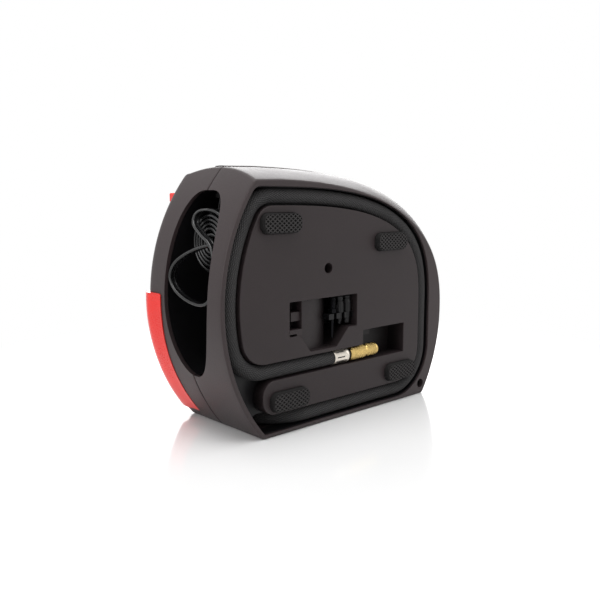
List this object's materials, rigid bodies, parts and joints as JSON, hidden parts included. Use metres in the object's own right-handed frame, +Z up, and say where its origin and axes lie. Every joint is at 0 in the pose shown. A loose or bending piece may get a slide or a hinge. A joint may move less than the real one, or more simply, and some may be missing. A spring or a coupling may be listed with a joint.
{
  "type": "portable tire inflator",
  "caption": "Portable electric tire inflator with an air hose wound in a groove on its back, a coiled power lead in its side and a motor-driven piston pump inside.",
  "frame": {"origin": "centre of the flat base it stands on", "axes": "+X towards the side with the lead compartment, +Y towards the back with the hose, -Y towards the display, +Z up"},
  "size_m": [0.2153, 0.0828, 0.1579],
  "materials": {
    "shell": "moulded, fine grain",
    "red_plastic": "satin",
    "dark_plastic": "fine grain",
    "foot_rubber": "matt",
    "black_steel": "black oxide",
    "black_plastic": "fine grain",
    "hose_braid": "braided textile over rubber",
    "brass": "turned",
    "nickel": "nickel plated",
    "lead_rubber": "satin",
    "spring_steel": "ground",
    "fuse_glass": "clear",
    "zinc_steel": "zinc plated",
    "magnet": "sintered ferrite",
    "carbon": "graphite",
    "bronze": "sintered",
    "copper": "enamelled winding",
    "gear_steel": "sintered steel",
    "cast_aluminium": "cast and machined",
    "ring_seal": "filled PTFE",
    "pipe_silicone": "translucent silicone",
    "board": "solder resist",
    "lcd": "liquid crystal glass",
    "window": "tinted",
    "gloss_black": "polished",
    "key_rubber": "satin",
    "lens": "frosted",
    "reflector": "metallised",
    "led_board": "white resist"
  },
  "bodies": {
    "case": {"rear_shell": "shell", "front_shell": "shell", "red_accent": "red_plastic", "top_strip": "dark_plastic", "rubber_feet": "foot_rubber", "case_screws": "black_steel", "lead_tray": "black_plastic", "air_hose": "hose_braid", "hose_nipple": "brass", "hose_ferrule": "nickel", "chuck_seal": "foot_rubber", "lead_grommet": "foot_rubber", "power_lead": "lead_rubber", "lead_coil": "lead_rubber", "plug_body": "black_plastic", "plug_cap": "black_plastic", "plug_spring": "spring_steel", "motor_can": "zinc_steel", "motor_end_cap": "black_plastic", "motor_magnets": "magnet", "motor_brushes": "carbon", "motor_bearings": "bronze", "motor_screws": "zinc_steel", "pump_frame": "zinc_steel", "crank_axle": "spring_steel", "pump_cylinder": "cast_aluminium", "cylinder_head": "cast_aluminium", "head_bolts": "black_steel", "air_pipe": "pipe_silicone", "circuit_board": "board", "display": "lcd", "display_window": "window", "control_panel": "gloss_black", "switch_body": "black_plastic", "lamp_bezel": "dark_plastic", "lamp_lens": "lens", "lamp_reflector": "reflector", "lamp_board": "led_board"},
    "chuck": {"brass_chuck": "brass"},
    "needle": {"ball_needle": "black_steel"},
    "wide_adapter": {"wide_nozzle": "black_plastic"},
    "slim_adapter": {"slim_nozzle": "black_plastic"},
    "plug_point": {"plug_tip": "nickel", "plug_fuse": "fuse_glass"},
    "contact_a": {"plug_contact_a": "nickel"},
    "contact_b": {"plug_contact_b": "nickel"},
    "armature": {"motor_rotor": "copper", "motor_shaft": "spring_steel", "pinion": "brass"},
    "crank": {"crank_gear": "gear_steel"},
    "piston": {"piston": "cast_aluminium", "piston_ring": "ring_seal", "wrist_pin": "spring_steel"},
    "rod": {"connecting_rod": "cast_aluminium"},
    "valve": {"outlet_valve": "bronze"},
    "key_up": {"button_up": "key_rubber"},
    "key_down": {"button_down": "key_rubber"},
    "key_unit": {"button_unit": "key_rubber"},
    "key_light": {"light_button": "red_plastic"},
    "rocker": {"switch_rocker": "red_plastic"}
  },
  "joints": [
    {"name": "crank_spin", "type": "hinge", "parent": "case", "child": "crank", "pos_m": [-0.0212, -0.0046, 0.0954], "axis": [1, 0, 0], "continuous": true},
    {"name": "motor_spin", "type": "hinge", "parent": "case", "child": "armature", "pos_m": [0.01, -0.0046, 0.121], "axis": [1, 0, 0], "continuous": true},
    {"name": "piston_slide", "type": "slide", "parent": "case", "child": "piston", "axis": [0, 0, 1], "range_m": [0, 0.013]},
    {"name": "rod_swing", "type": "hinge", "parent": "piston", "child": "rod", "pos_m": [-0.031, -0.0046, 0.0489], "axis": [1, 0, 0], "range_deg": [-9.3, 9.3]},
    {"name": "outlet_valve_lift", "type": "slide", "parent": "case", "child": "valve", "axis": [0, 0, -1], "range_m": [0, 0.0008], "stiffness_N_per_m": 120, "springref_m": -0.003},
    {"name": "chuck_turn", "type": "hinge", "parent": "case", "child": "chuck", "pos_m": [-0.00925, 0.03295, 0.0386], "axis": [1, 0, 0], "continuous": true},
    {"name": "needle_pull", "type": "slide", "parent": "case", "child": "needle", "axis": [0, 1, 0], "range_m": [0, 0.03]},
    {"name": "wide_adapter_pull", "type": "slide", "parent": "case", "child": "wide_adapter", "axis": [0, 1, 0], "range_m": [0, 0.03]},
    {"name": "slim_adapter_pull", "type": "slide", "parent": "case", "child": "slim_adapter", "axis": [0, 1, 0], "range_m": [0, 0.03]},
    {"name": "button_up_press", "type": "slide", "parent": "case", "child": "key_up", "axis": [0, 1, 0], "range_m": [0, 0.0009], "stiffness_N_per_m": 500, "springref_m": -0.0006},
    {"name": "button_unit_press", "type": "slide", "parent": "case", "child": "key_unit", "axis": [0, 1, 0], "range_m": [0, 0.0009], "stiffness_N_per_m": 500, "springref_m": -0.0006},
    {"name": "button_down_press", "type": "slide", "parent": "case", "child": "key_down", "axis": [0, 1, 0], "range_m": [0, 0.0009], "stiffness_N_per_m": 500, "springref_m": -0.0006},
    {"name": "light_button_press", "type": "slide", "parent": "case", "child": "key_light", "axis": [0, 1, 0], "range_m": [0, 0.0009], "stiffness_N_per_m": 500, "springref_m": -0.0006},
    {"name": "switch_rock", "type": "hinge", "parent": "case", "child": "rocker", "pos_m": [0.07075, -0.036, 0.096], "axis": [1, 0, 0], "range_deg": [-16, 0]},
    {"name": "plug_tip_press", "type": "slide", "parent": "case", "child": "plug_point", "axis": [0, 0, 1], "range_m": [0, 0.0025], "stiffness_N_per_m": 900, "springref_m": -0.003, "deforming": ["plug_spring"]},
    {"name": "plug_contact_a_press", "type": "slide", "parent": "case", "child": "contact_a", "axis": [0, -1, 0], "range_m": [0, 0.0008], "stiffness_N_per_m": 500, "springref_m": -0.001},
    {"name": "plug_contact_b_press", "type": "slide", "parent": "case", "child": "contact_b", "axis": [0, 1, 0], "range_m": [0, 0.0008], "stiffness_N_per_m": 500, "springref_m": -0.001}
  ],
  "couplings": [
    {"joint": "motor_spin", "follows": "crank_spin", "ratio": -5}
  ]
}
